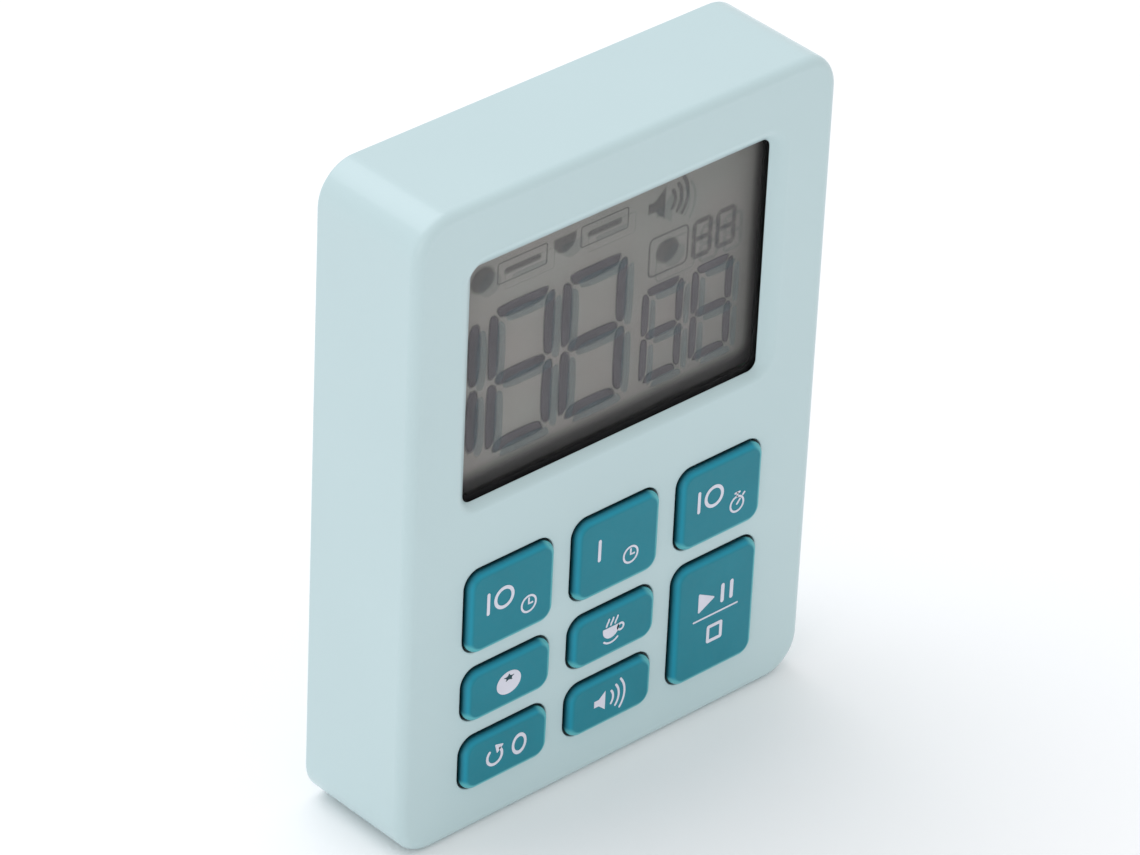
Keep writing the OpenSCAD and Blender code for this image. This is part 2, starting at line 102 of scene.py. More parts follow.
# Window: the front face rolls over softly into a crisp glass opening
LENS = span("display_lens")
LENS_SEAT, LENS_FRONT = depths("lens_tape")
ROLL_DEPTH = 1.08
ROLL = (LENS[0] - 1.85, LENS[1] + 1.5, LENS[2] - 0.1, LENS[3] + 1.05)
ROLL_R = 4.2
OPENING = (LENS[0] + 0.3, LENS[1] - 1.1, LENS[2] + 1.3, LENS[3] - 0.95)
OPENING_R = 1.4
SEAT_R = 1.8
MASK = (OPENING[0] + 0.7, LENS[1] - 0.95, OPENING[2] + 0.1, OPENING[3] - 0.6)
MASK_R = 1.6

# Keys
FLANGE_OUT = 0.6
KEY_R = 2.2
KEY_ROUND = 0.95
KEY_GAP = 0.28
KEY_HUB_IN = 1.7
KEY_NAMES = [n[len("key_"):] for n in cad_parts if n.startswith("key_")]
KEY_BOXES = {n: span("key_" + n, -FLANGE_OUT) for n in KEY_NAMES}
KEY_TOP, KEY_BACK = depths("key_cup")
FLANGE_FRONT = FRONT_WALL + 0.2
FLANGE_BACK = FLANGE_FRONT + 0.8
WEB_FRONT = depths("keypad_web")[0]


# ---------------------------------------------------------------------------------------
# Shapes
# ---------------------------------------------------------------------------------------
def rounded(box, r, grow=0.0, steps=10):
    """Outline of a box with round corners, as (x, z) points, anticlockwise from the front."""
    x0, x1, z0, z1 = box[0] - grow, box[1] + grow, box[2] - grow, box[3] + grow
    r = max(r + grow, 0.05)
    corners = (
        (x1 - r, z0 + r, -90), (x1 - r, z1 - r, 0), (x0 + r, z1 - r, 90), (x0 + r, z0 + r, 180)
    )
    turns = [90 * i / steps for i in range(steps + 1)]
    return [
        (x + r * cos(radians(start + turn)), z + r * sin(radians(start + turn)))
        for x, z, start in corners
        for turn in turns
    ]


def oval(x, z, rx, rz, steps=40):
    """Outline of an oval round x, z."""
    turns = [2 * pi * i / steps for i in range(steps)]
    return [(x + rx * cos(a), z + rz * sin(a)) for a in turns]


def arc(x, z, r, start, end, steps=16):
    """Points along an arc, its angles in degrees."""
    turns = [radians(start + (end - start) * i / steps) for i in range(steps + 1)]
    return [(x + r * cos(a), z + r * sin(a)) for a in turns]


def mixed(a, b, share):
    """The outline that lies between two outlines with the same number of points."""
    return [
        (p[0] + (q[0] - p[0]) * share, p[1] + (q[1] - p[1]) * share) for p, q in zip(a, b)
    ]


def anticlockwise(outline):
    """The outline, turned round if it runs clockwise."""
    area = sum(
        p[0] * q[1] - q[0] * p[1] for p, q in zip(outline, [*outline[1:], outline[0]])
    )
    return outline if area > 0 else outline[::-1]


def grown(outline, by):
    """A closed outline pushed outwards along the bisector at each point."""
    made = []
    outline = anticlockwise(outline)
    for i, (x, z) in enumerate(outline):
        before = Vector(outline[i - 1])
        after = Vector(outline[(i + 1) % len(outline)])
        here = Vector((x, z))
        first = (here - before).normalized()
        second = (after - here).normalized()
        normal = Vector((first.y + second.y, -first.x - second.x))
        if normal.length < 1e-6:
            normal = Vector((first.y, -first.x))
        normal.normalize()
        reach = by / max(0.5, normal.dot(Vector((first.y, -first.x))))
        made.append((x + normal.x * reach, z + normal.y * reach))
    return made


def smoothed(outline, rounds=2, share=0.22):
    """A closed outline with its corners cut away and cut away again."""
    for _ in range(rounds):
        cut = []
        for p, q in zip(outline, [*outline[1:], outline[0]]):
            for s in (share, 1 - share):
                cut.append((p[0] + (q[0] - p[0]) * s, p[1] + (q[1] - p[1]) * s))
        outline = cut
    return outline


def stroke(path, width, steps=5):
    """Outline of a pen stroke of that width along a path, with round ends."""
    path = [Vector(p) for p in path]
    headings = [
        (path[min(i + 1, len(path) - 1)] - path[max(i - 1, 0)]).normalized()
        for i in range(len(path))
    ]
    half = width / 2
    right = [p + Vector((h.y, -h.x)) * half for p, h in zip(path, headings)]
    left = [p - Vector((h.y, -h.x)) * half for p, h in zip(path, headings)]

    def cap(point, heading):
        side = Vector((heading.y, -heading.x)) * half
        ahead = heading * half
        turns = [pi * i / (steps + 1) for i in range(1, steps + 1)]
        return [point + side * cos(a) + ahead * sin(a) for a in turns]

    outline = right + cap(path[-1], headings[-1]) + left[::-1] + cap(path[0], -headings[0])
    return [(p.x, p.y) for p in outline]


class Shape:
    """Collects the points and faces of one piece."""

    def __init__(self):
        self.points = []
        self.faces = []
        self.slots = []
        self.soft = []
        self.slot = 0
        self.softness = 1.0

    def ring(self, outline, depth):
        """Adds an outline at one depth and returns its point numbers."""
        first = len(self.points)
        self.points += [(x, depth, z) for x, z in outline]
        self.soft += [self.softness] * len(outline)
        return list(range(first, len(self.points)))

    def face(self, corners):
        self.faces.append(list(corners))
        self.slots.append(self.slot)

    def skin(self, a, b):
        """Joins two rings with the same number of points by a band of faces."""
        for i in range(len(a)):
            j = (i + 1) % len(a)
            self.face((a[i], a[j], b[j], b[i]))

    def loft(self, rings):
        """Joins each ring to the next one."""
        for a, b in zip(rings, rings[1:]):
            self.skin(a, b)
        return rings

    def plate(self, outer, holes):
        """Fills the flat space between one ring and the rings of its holes."""
        rings = [outer, *holes]
        numbers = [n for ring in rings for n in ring]
        flat = [Vector((self.points[n][0], self.points[n][2])) for n in numbers]
        edges = []
        first = 0
        for ring in rings:
            count = len(ring)
            edges += [(first + i, first + (i + 1) % count) for i in range(count)]
            first += count
        _, _, triangles, sources, _, _ = delaunay_2d_cdt(flat, edges, [], 1, 1e-7, True)
        boxes = []
        for ring in holes:
            xs = [self.points[n][0] for n in ring]
            zs = [self.points[n][2] for n in ring]
            boxes.append((set(ring), min(xs), max(xs), min(zs), max(zs)))
        for triangle in triangles:
            corners = [numbers[sources[i][0]] for i in triangle]
            if not any(set(corners) <= members for members, *_ in boxes):
                self.face(corners)

    def slab(self, outline, near, far, hole=None):
        """A closed flat piece between two depths, with one hole if given."""
        front = self.ring(outline, near)
        back = self.ring(outline, far)
        self.skin(front, back)
        if hole is None:
            self.face(front)
            self.face(back)
            return
        front_hole = self.ring(hole, near)
        back_hole = self.ring(hole, far)
        self.skin(front_hole, back_hole)
        self.skin(front, front_hole)
        self.skin(back, back_hole)

    def faded_slab(self, outline, near, far, blur):
        """A closed flat piece that is solid inside its outline and fades out over the blur."""
        self.softness = 0.0
        edge = grown(outline, blur)
        rims = [self.ring(edge, near), self.ring(edge, far)]
        self.softness = 1.0
        core = grown(outline, -0.25 * blur)
        cores = [self.ring(core, near), self.ring(core, far)]
        self.skin(*rims)
        for rim, inside in zip(rims, cores):
            self.skin(rim, inside)
            self.face(inside)

    def lathe(self, profile, x, z, steps=40):
        """Turns a profile of (radius, depth) points round an axis that runs backwards."""
        rings = []
        for r, depth in profile:
            if r < 1e-6:
                rings.append(self.ring([(x, z)], depth) * steps)
            else:
                rings.append(self.ring(oval(x, z, r, r, steps), depth))
        for a, b in zip(rings, rings[1:]):
            for i in range(steps):
                j = (i + 1) % steps
                corners = [a[i], a[j], b[j], b[i]]
                self.face(dict.fromkeys(corners))

    def make(self, name, materials, body, slot=None, stands_for=(), smooth=SHARP_ANGLE):
        """Makes the piece, which rides on a CAD body and may stand for CAD nodes."""
        mesh = bpy.data.meshes.new(name)
        places = [(x * MM, (FRONT_Y + d) * MM, z * MM) for x, d, z in self.points]
        mesh.from_pydata(places, [], self.faces)
        mesh.polygons.foreach_set("material_index", self.slots)
        if min(self.soft) < 1:
            layer = mesh.attributes.new("softness", "FLOAT", "POINT")
            layer.data.foreach_set("value", self.soft)
        return finish_piece(mesh, name, materials, body, stands_for, smooth)


def finish_piece(mesh, name, materials, body, stands_for, smooth):
    """Closes a mesh's normals, shades it and hands it to the frame."""
    work = bmesh.new()
    work.from_mesh(mesh)
    bmesh.ops.recalc_face_normals(work, faces=work.faces)
    work.to_mesh(mesh)
    work.free()
    for made in materials:
        mesh.materials.append(made)
    mesh.polygons.foreach_set("use_smooth", [True] * len(mesh.polygons))
    mesh.set_sharp_from_angle(angle=radians(smooth))
    piece = bpy.data.objects.new(name, mesh)
    bpy.context.scene.collection.objects.link(piece)
    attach(piece, body)
    if stands_for:
        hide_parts(*stands_for)
    return piece


def even_shading(piece):
    """Keeps a flat face flat beside its rounded edges."""
    weighted = piece.modifiers.new("even_shading", "WEIGHTED_NORMAL")
    weighted.keep_sharp = True
    weighted.weight = 80
    return piece


# ---------------------------------------------------------------------------------------
# Materials
# ---------------------------------------------------------------------------------------
def linear(r, g, b):
    """An sRGB colour with parts from 0 to 255, as a shader takes it."""

    def part(value):
        value /= 255
        return value / 12.92 if value <= 0.04045 else ((value + 0.055) / 1.055) ** 2.4

    return part(r), part(g), part(b), 1


def shade(colour, by):
    """A linear colour made lighter or darker."""
    return tuple(min(1.0, part * by) for part in colour[:3]) + (1,)


class Look:
    """One material's node tree, named after its slot in the record."""

    def __init__(self, name):
        self.material = bpy.data.materials.new("look_" + name)
        self.material["slot"] = name
        self.material.use_nodes = True
        self.tree = self.material.node_tree
        self.shader = self.tree.nodes["Principled BSDF"]
        self.output = self.tree.nodes["Material Output"]
        where = self.node("ShaderNodeTexCoord")
        self.place = where.outputs["Object"]
        self.normal = where.outputs["Normal"]

    def node(self, kind, **settings):
        made = self.tree.nodes.new(kind)
        for key, value in settings.items():
            setattr(made, key, value)
        return made

    def link(self, source, target):
        self.tree.links.new(source, target)

    def fill(self, socket, value):
        """Sets a socket to a value or links it to another socket."""
        if isinstance(value, bpy.types.NodeSocket):
            self.link(value, socket)
        else:
            socket.default_value = value

    def set(self, **values):
        for key, value in values.items():
            self.fill(self.shader.inputs[key.replace("_", " ")], value)

    def noise(self, size, detail=3.0, stretch=(1, 1, 1)):
        """Noise whose patches are about size millimetres across."""
        mapping = self.node("ShaderNodeMapping")
        mapping.inputs["Scale"].default_value = [part / (size * MM) for part in stretch]
        self.link(self.place, mapping.inputs["Vector"])
        texture = self.node("ShaderNodeTexNoise")
        texture.inputs["Scale"].default_value = 1
        texture.inputs["Detail"].default_value = detail
        self.link(mapping.outputs["Vector"], texture.inputs["Vector"])
        return texture.outputs["Fac"]

    def ramp(self, value, low, high, to_low=0.0, to_high=1.0, smooth=False):
        """Maps low to high onto to_low to to_high, and stays level past them."""
        made = self.node("ShaderNodeMapRange")
        if smooth:
            made.interpolation_type = "SMOOTHSTEP"
        for key, number in (
            ("Value", value), ("From Min", low), ("From Max", high),
            ("To Min", to_low), ("To Max", to_high),
        ):
            self.fill(made.inputs[key], number)
        return made.outputs["Result"]

    def maths(self, operation, a, b=0.0):
        made = self.node("ShaderNodeMath", operation=operation)
        self.fill(made.inputs[0], a)
        self.fill(made.inputs[1], b)
        return made.outputs["Value"]

    def mix(self, share, a, b):
        """Colour a turning into colour b as the share goes from 0 to 1."""
        colour_a, colour_b, colour_out = 6, 7, 2
        made = self.node("ShaderNodeMix", data_type="RGBA")
        self.fill(made.inputs["Factor"], share)
        self.fill(made.inputs[colour_a], a)
        self.fill(made.inputs[colour_b], b)
        return made.outputs[colour_out]

    def bump(self, height, depth):
        """Raises the surface by depth millimetres where height is 1."""
        made = self.node("ShaderNodeBump")
        made.inputs["Strength"].default_value = 1
        made.inputs["Distance"].default_value = depth * MM
        self.link(height, made.inputs["Height"])
        self.set(Normal=made.outputs["Normal"])


def moulded(
    name, colour, rough=0.4, patch=14, uneven=0.03, grain=0.22, relief=0.003, swing=0.05, **more
):
    """A material with faint cloudy colour, uneven gloss and a fine surface grain."""
    look = Look(name)
    clouds = look.ramp(look.noise(patch, 2), 0.3, 0.7)
    look.set(Base_Color=look.mix(clouds, shade(colour, 1 - uneven), shade(colour, 1 + uneven)))
    gloss = look.ramp(look.noise(patch / 5, 4), 0.3, 0.7, rough - swing, rough + swing)
    look.set(Roughness=gloss)
    look.bump(look.noise(grain, 3), relief)
    look.set(**more)
    return look.material


def silicone(name, colour):
    """Dyed silicone rubber, with painted shade in its gap and painted light on its edges.

    A key's softness is its height over the front face in millimetres, from -1 to 1.
    """
    look = Look(name)
    height = look.node("ShaderNodeAttribute", attribute_name="softness").outputs["Fac"]
    facing = look.node("ShaderNodeSeparateXYZ")
    look.link(look.normal, facing.inputs["Vector"])
    down = look.maths("MULTIPLY", facing.outputs["Z"], -1.0)
    out = look.maths("MAXIMUM", look.maths("ABSOLUTE", facing.outputs["X"]), facing.outputs["Z"])
    clouds = look.ramp(look.noise(6, 3), 0.3, 0.7)
    body = look.mix(clouds, shade(colour, 0.96), shade(colour, 1.04))
    # Painted glow: rounded flanks facing sideways or up are painted a brighter teal, for light
    # scattered in the rubber.
    painted_flank_glow = look.mix(look.ramp(out, 0.1, 0.7, smooth=True), body, KEY_FLANK_GLOW_TINT)
    # Painted highlight: rounded edges facing down or to the right are painted a light turquoise.
    low = look.maths("MAXIMUM", down, facing.outputs["X"])
    painted_rim_light = look.ramp(low, 0.03, 0.36, smooth=True)
    painted_light_colour = look.mix(painted_rim_light, painted_flank_glow, KEY_RIM_LIGHT_TINT)
    away_from_rim_light = look.maths("SUBTRACT", 1.0, painted_rim_light)
    # Painted shade: darker near the front face, and darkest down in the gap round the key.
    around = look.maths("MULTIPLY", look.ramp(height, 0.9, -0.25, smooth=True), away_from_rim_light)
    painted_gap_shade = look.maths("MAXIMUM", around, look.ramp(height, 0.25, -0.1, smooth=True))
    look.set(Base_Color=look.mix(painted_gap_shade, painted_light_colour, shade(colour, 0.09)))
    look.set(Roughness=look.ramp(look.noise(0.9, 4), 0.3, 0.7, 0.38, 0.46))
    look.set(Specular_IOR_Level=0.36)
    look.bump(look.noise(0.16, 3), 0.002)
    return look.material


def brushed(name, colour, rough=0.28, stretch=(1, 1, 12), tarnish=0.12):
    """Sheet metal with fine lines and a little tarnish."""
    look = Look(name)
    dull = look.ramp(look.noise(2.4, 4), 0.42, 0.7)
    look.set(Base_Color=look.mix(dull, colour, shade(colour, 1 - tarnish)), Metallic=1.0)
    lines = look.noise(0.35, 2, stretch)
    look.set(Roughness=look.ramp(lines, 0.3, 0.7, rough - 0.06, rough + 0.1))
    look.bump(lines, 0.002)
    return look.material


def clear_sheet(name, colour, alpha, rough=0.1):
    """A thin see-through sheet with a faint haze."""
    look = Look(name)
    haze = look.ramp(look.noise(9, 3), 0.3, 0.7, 0.9, 1.1)
    look.set(Base_Color=look.mix(look.noise(6, 2), colour, shade(colour, 0.92)))
    look.set(Roughness=rough, Alpha=look.maths("MULTIPLY", haze, alpha), Specular_IOR_Level=0.1)
    return look.material


def lens_look():
    """The clear window: hardly anything but a faint mirror with a few fine smears."""
    look = Look("clear_window")
    clear = look.node("ShaderNodeBsdfTransparent")
    clear.inputs["Color"].default_value = linear(246, 246, 247)
    gloss = look.node("ShaderNodeBsdfAnisotropic")
    smears = look.ramp(look.noise(7, 5, (1, 1, 2.5)), 0.35, 0.75, 0.06, 0.2)
    look.link(smears, gloss.inputs["Roughness"])
    slope = look.node("ShaderNodeLayerWeight")
    slope.inputs["Blend"].default_value = 0.5
    glancing = look.maths("POWER", slope.outputs["Facing"], 5.0)
    both = look.node("ShaderNodeMixShader")
    look.link(look.maths("MULTIPLY", glancing, 0.9), both.inputs["Fac"])
    look.link(clear.outputs["BSDF"], both.inputs[1])
    look.link(gloss.outputs["BSDF"], both.inputs[2])
    look.link(both.outputs["Shader"], look.output.inputs["Surface"])
    return look.material


def reflector_look():
    """The display's warm grey reflector, with shade painted where the light doesn't reach."""
    look = Look("reflector")
    parts = look.node("ShaderNodeSeparateXYZ")
    look.link(look.place, parts.inputs["Vector"])
    lit_to_x, lit_from_z, fade_reach = 23.9 * MM, 53.6 * MM, 2.9 * MM
    # Painted shade: darker towards its right and lower edges, and a little darker towards the
    # right all across.
    past_side = look.maths("SUBTRACT", parts.outputs["X"], lit_to_x)
    past_low = look.maths("SUBTRACT", lit_from_z, parts.outputs["Z"])
    side = look.maths("POWER", look.maths("MAXIMUM", past_side, 0.0), 2.0)
    low = look.maths("POWER", look.maths("MAXIMUM", past_low, 0.0), 2.0)
    reach = look.maths("SQRT", look.maths("ADD", side, low))
    painted_edge_shade = look.ramp(reach, 0.0, fade_reach, smooth=True)
    painted_far_shade = look.ramp(parts.outputs["X"], -14 * MM, 26 * MM, 0.0, 0.26)
    dark = look.maths("MAXIMUM", painted_edge_shade, painted_far_shade)
    clouds = look.ramp(look.noise(11, 2), 0.3, 0.7)
    warm = look.mix(clouds, linear(176, 178, 170), linear(180, 175, 168))
    grain = look.ramp(look.noise(0.3, 4), 0.3, 0.7, 0.0, 0.5)
    flecked = look.mix(grain, warm, linear(184, 182, 175))
    look.set(Base_Color=look.mix(dark, flecked, linear(97, 96, 95)))
    look.set(Roughness=0.6, Specular_IOR_Level=0.05)
    return look.material


def faded(name, colour, alpha, curve=1.0):
    """A mark in the display, or a painted shadow of one, that fades out at its soft edges."""
    look = Look(name)
    softness = look.node("ShaderNodeAttribute", attribute_name="softness").outputs["Fac"]
    eased = look.maths("POWER", look.ramp(softness, 0.0, 1.0, smooth=True), curve)
    uneven = look.ramp(look.noise(3, 3), 0.3, 0.7, 0.93, 1.0)
    look.set(Base_Color=look.mix(look.noise(5, 2), colour, shade(colour, 1.1)))
    look.set(Alpha=look.maths("MULTIPLY", look.maths("MULTIPLY", eased, uneven), alpha))
    look.set(Roughness=0.6, Specular_IOR_Level=0.0)
    return look.material


def board_look():
    """Green solder mask with lighter tracks under it and a woven glass grain."""
    look = Look("board_laminate")
    bricks = look.node("ShaderNodeTexBrick")
    turned = look.node("ShaderNodeMapping")
    turned.inputs["Rotation"].default_value = (radians(90), 0, 0)
    look.link(look.place, turned.inputs["Vector"])
    look.link(turned.outputs["Vector"], bricks.inputs["Vector"])
    bricks.inputs["Scale"].default_value = 180
    bricks.inputs["Mortar Size"].default_value = 0.05
    mask = linear(24, 92, 58)
    tracks = look.mix(bricks.outputs["Fac"], mask, linear(52, 128, 84))
    look.set(Base_Color=look.mix(look.ramp(look.noise(8, 3), 0.3, 0.7, 0, 0.35), tracks, mask))
    look.set(Roughness=look.ramp(look.noise(1.5, 3), 0.3, 0.7, 0.25, 0.4))
    look.bump(bricks.outputs["Fac"], 0.02)
    return look.material


def cell_look():
    """A battery's dark printed wrap, with a glossy film over it."""
    look = Look("cell_wrap")
    clouds = look.noise(5, 3)
    look.set(Base_Color=look.mix(clouds, linear(30, 38, 52), linear(36, 45, 60)))
    look.set(Roughness=look.ramp(look.noise(2, 3), 0.3, 0.7, 0.24, 0.34), Coat_Weight=0.3)
    look.bump(look.noise(0.6, 2), 0.002)
    return look.material


CASE_TINT = linear(190, 212, 215)
KEY_TINT = linear(1, 124, 141)
# Painted glow on a key's rounded flanks.
KEY_FLANK_GLOW_TINT = linear(0, 143, 168)
# Painted highlight on a key's lower and right edges.
KEY_RIM_LIGHT_TINT = linear(84, 176, 184)
METAL = linear(198, 196, 190)

GLOSS = {"Coat_Weight": 0.3, "Coat_Roughness": 0.12}
case_plastic = moulded("case_plastic", CASE_TINT, 0.36, 30, 0.012, 0.45, 0.0006, 0.015, **GLOSS)
cover_plastic = moulded("cover_plastic", CASE_TINT, 0.42, 18, 0.015, 0.25, 0.003, 0.02)
door_plastic = moulded("door_plastic", CASE_TINT, 0.42, 16, 0.015, 0.25, 0.003, 0.02)
key_rubber = silicone("key_rubber", KEY_TINT)
web_rubber = moulded("web_rubber", KEY_TINT, 0.45, 6, 0.04, 0.16, 0.003)
web_rubber["slot"] = "key_rubber"
key_ink = moulded("key_ink", linear(218, 218, 230), 0.5, 3, 0.03, 0.12, 0.002)
carbon_rubber = moulded("carbon_rubber", linear(28, 28, 30), 0.7, 2, 0.12, 0.1, 0.006)
black_tape = moulded("black_tape", linear(13, 13, 15), 0.6, 4, 0.15, 0.2, 0.002)
black_foam = moulded("black_foam", linear(15, 15, 16), 0.85, 2, 0.25, 0.14, 0.03)
display_glass = clear_sheet("display_glass", linear(205, 212, 208), 0.01)
polariser = clear_sheet("polariser", linear(110, 106, 100), 0.04, 0.3)
clear_window = lens_look()
reflector = reflector_look()
crystal_tint = faded("crystal_tint", linear(96, 126, 131), 0.2)
crystal_faint = faded("crystal_faint", linear(96, 126, 131), 0.08)
# Painted shadows of the display's marks, drawn as dark sheets on the reflector.
shadow_tint = faded("shadow_tint", linear(139, 136, 139), 0.8, 1.4)
shadow_faint = faded("shadow_faint", linear(128, 126, 127), 0.27, 1.2)
clamp_plastic = moulded("clamp_plastic", linear(226, 226, 220), 0.45, 10, 0.02)
zebra_rubber = moulded("zebra_rubber", linear(46, 45, 48), 0.6, 3, 0.1)
board_laminate = board_look()
black_resin = moulded("black_resin", linear(18, 18, 20), 0.3, 3, 0.2, 0.8, 0.02)
capacitor_ceramic = moulded("capacitor_ceramic", linear(160, 128, 92), 0.4, 1.2, 0.1, 0.1, 0.004)
resistor_black = moulded("resistor_black", linear(30, 30, 32), 0.35, 1, 0.15, 0.1, 0.004)
buzzer_brass = brushed("buzzer_brass", linear(214, 176, 96), 0.25, (1, 1, 1))
buzzer_white = moulded("buzzer_white", linear(226, 220, 206), 0.5, 3, 0.05, 0.15, 0.006)
tin_plate = brushed("tin_plate", METAL)
contact_nickel = brushed("contact_nickel", linear(205, 202, 194), 0.22)
screw_steel = brushed("screw_steel", linear(182, 182, 184), 0.3, (1, 1, 1), 0.2)
cell_wrap = cell_look()
cell_band = moulded("cell_band", linear(196, 150, 74), 0.3, 4, 0.05, Coat_Weight=0.3)
wire_red = moulded("wire_red", linear(178, 30, 26), 0.45, 4, 0.08, 0.2, 0.004)
wire_black = moulded("wire_black", linear(24, 24, 26), 0.45, 4, 0.15, 0.2, 0.004)


# ---------------------------------------------------------------------------------------
# Case
# ---------------------------------------------------------------------------------------
def quarter(steps):
    """The angles of a quarter turn."""
    return [pi / 2 * i / steps for i in range(steps + 1)]


def case_rings(shape):
    """The shell's rings, from the front face round the outside and in to the inner face."""
    fillet = [(-EDGE_R * (1 - sin(a)), EDGE_R * (1 - cos(a))) for a in quarter(10)]
    heel = [
        (-BACK_EDGE_R * (1 - cos(a)), BACK - BACK_EDGE_R * (1 - sin(a))) for a in quarter(4)
    ]
    inside = [
        (-RIM_WALL + 0.15, BACK),
        (-RIM_WALL, BACK - 0.15),
        (-RIM_WALL, PLATE_DEPTH),
        (-SIDE_WALL, PLATE_DEPTH),
        (-SIDE_WALL, FRONT_WALL + 0.6),
        (-SIDE_WALL - 0.6, FRONT_WALL),
    ]
    profile = fillet + heel + inside
    return shape.loft(
        [shape.ring(rounded(CASE, CORNER_R, grow, 14), depth) for grow, depth in profile]
    )


def window_rings(shape):
    """The window's rings: the soft roll, a crisp edge and the lens's recess."""
    roll = [(i / 14, ROLL_DEPTH * (i / 14) ** 2) for i in range(14)]
    edge = [(0.985, ROLL_DEPTH - 0.04), (1, ROLL_DEPTH + 0.01), (1, LENS_SEAT)]
    outer = rounded(ROLL, ROLL_R, 0, 12)
    inner = rounded(OPENING, OPENING_R, 0, 12)
    rings = [shape.ring(mixed(outer, inner, share), depth) for share, depth in roll + edge]
    recess = rounded(LENS, 0.4, 0.2, 12)
    rings += [shape.ring(recess, LENS_SEAT), shape.ring(recess, FRONT_WALL)]
    return shape.loft(rings)


def key_hole_rings(shape, box):
    """A key's hole through the front wall, with its small rounded edge."""
    edge = ((0.22, 0), (0.1, 0.02), (0.03, 0.08), (0, 0.2), (0, FRONT_WALL))
    return shape.loft([shape.ring(rounded(box, KEY_R, KEY_GAP + g), d) for g, d in edge])


def build_case():
    """The front case: its shell, window and key holes, and the posts behind its front."""
    shape = Shape()
    shell = case_rings(shape)
    openings = [window_rings(shape)]
    openings += [key_hole_rings(shape, box) for box in KEY_BOXES.values()]
    shape.plate(shell[0], [rings[0] for rings in openings])
    shape.plate(shell[-1], [rings[-1] for rings in openings])
    foot = FRONT_WALL - 0.5
    for x, z in SCREWS:
        end = BACK - 4.1
        shape.lathe(
            [(0, foot), (2.4, foot), (2.4, end - 0.2), (2.2, end), (1.2, end),
             (1.05, end - 0.2), (1.05, 7.9), (0, 7.9)], x, z
        )
    for x, z in BOARD_SCREWS:
        end = depths("circuit_board")[0]
        shape.lathe(
            [(0, foot), (2, foot), (2, end - 0.1), (1.9, end), (0.8, end), (0.8, 2.6), (0, 2.6)],
            x, z
        )
    for x, z in POSTS:
        end = depths("display_clamp")[1] + 0.4
        shape.lathe([(0, foot), (0.9, foot), (0.9, end - 0.2), (0.7, end), (0, end)], x, z, 24)
    even_shading(
        shape.make("case_shell", [case_plastic], "case", "case_plastic", ["front_case"])
    )


# ---------------------------------------------------------------------------------------
# Keys
# ---------------------------------------------------------------------------------------
def build_key(name, box):
    """A soft moulded key: its rounded cap, its flange and the hub under it."""
    shape = Shape()
    cap = [(-KEY_ROUND * (1 - sin(a)), KEY_TOP + KEY_ROUND * (1 - cos(a))) for a in quarter(9)]
    under = [
        (0, FLANGE_FRONT - 0.05),
        (0.05, FLANGE_FRONT),
        (FLANGE_OUT - 0.1, FLANGE_FRONT),
        (FLANGE_OUT, FLANGE_FRONT + 0.1),
        (FLANGE_OUT, FLANGE_BACK - 0.1),
        (FLANGE_OUT - 0.1, FLANGE_BACK),
        (-KEY_HUB_IN + 0.15, FLANGE_BACK),
        (-KEY_HUB_IN, FLANGE_BACK + 0.15),
        (-KEY_HUB_IN, KEY_BACK - 0.15),
        (-KEY_HUB_IN - 0.15, KEY_BACK),
    ]
    rings = []
    for grow, depth in cap + under:
        shape.softness = max(-1.0, min(1.0, -depth))
        rings.append(shape.ring(rounded(box, KEY_R, grow, 12), depth))
    shape.loft(rings)
    shape.face(rings[0])
    shape.face(rings[-1])
    even_shading(
        shape.make(name + "_cap", [key_rubber], name + "_key", "key_rubber", ["key_" + name])
    )


def build_skirt(name, box):
    """The thin wall from a key's flange down to the web."""
    wall, top_in, foot_out = 0.45, 0.9, 0.35
    shape = Shape()
    share_steps = [i / 6 for i in range(7)]

    def wall_ring(share, inset):
        bulge = 0.12 * sin(pi * share)
        outline = mixed(
            rounded(box, 1.9, -top_in - inset), rounded(box, 1.9, foot_out - inset), share
        )
        return shape.ring(grown(outline, bulge), FLANGE_BACK + share * (WEB_FRONT - FLANGE_BACK))

    outside = [wall_ring(share, 0) for share in share_steps]
    inside = [wall_ring(share, wall) for share in reversed(share_steps)]
    shape.loft(outside + inside + outside[:1])
    piece = shape.make(
        name + "_skirt", [web_rubber], "case", "key_rubber", ["skirt_" + name], 60
    )
    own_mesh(piece)


# ---------------------------------------------------------------------------------------
# Printed marks on the keys, drawn around the middle of each key
# ---------------------------------------------------------------------------------------
INK_NEAR = 0.035
INK_FAR = 0.05
PEN = 0.5
FINE_PEN = 0.3


class Print(Shape):
    """Ink on a key, placed from the key's middle, and sunk a little into the rubber."""

    def __init__(self, box):
        super().__init__()
        self.at = middle(box)

    def moved(self, outline):
        return [(x + self.at[0], z + self.at[1]) for x, z in outline]

    def fill(self, outline, hole=None, lift=0.0):
        hole = self.moved(hole) if hole else None
        self.slab(
            self.moved(outline), KEY_TOP - INK_NEAR - lift, KEY_TOP + INK_FAR, hole
        )

    def line(self, path, pen=PEN):
        self.fill(stroke(path, pen))

    def ring_mark(self, x, z, r, pen=PEN, squeeze=1.0):
        outer = r + pen / 2
        inner = r - pen / 2
        self.fill(
            oval(x, z, outer, outer * squeeze), oval(x, z, inner, inner * squeeze)
        )


def number_mark(ink, x, digits):
    """The number 1 or 10, its 1 at x."""
    ink.line([(x, -0.45), (x, 2.45)])
    if digits == 2:
        ink.ring_mark(x + 2.65, 1.0, 1.45)


def minute_mark(ink, x):
    """A small clock face: minutes."""
    z = -1.85
    ink.ring_mark(x, z, 1.2, FINE_PEN)
    ink.line([(x, z + 0.8), (x, z), (x + 0.6, z)], FINE_PEN)


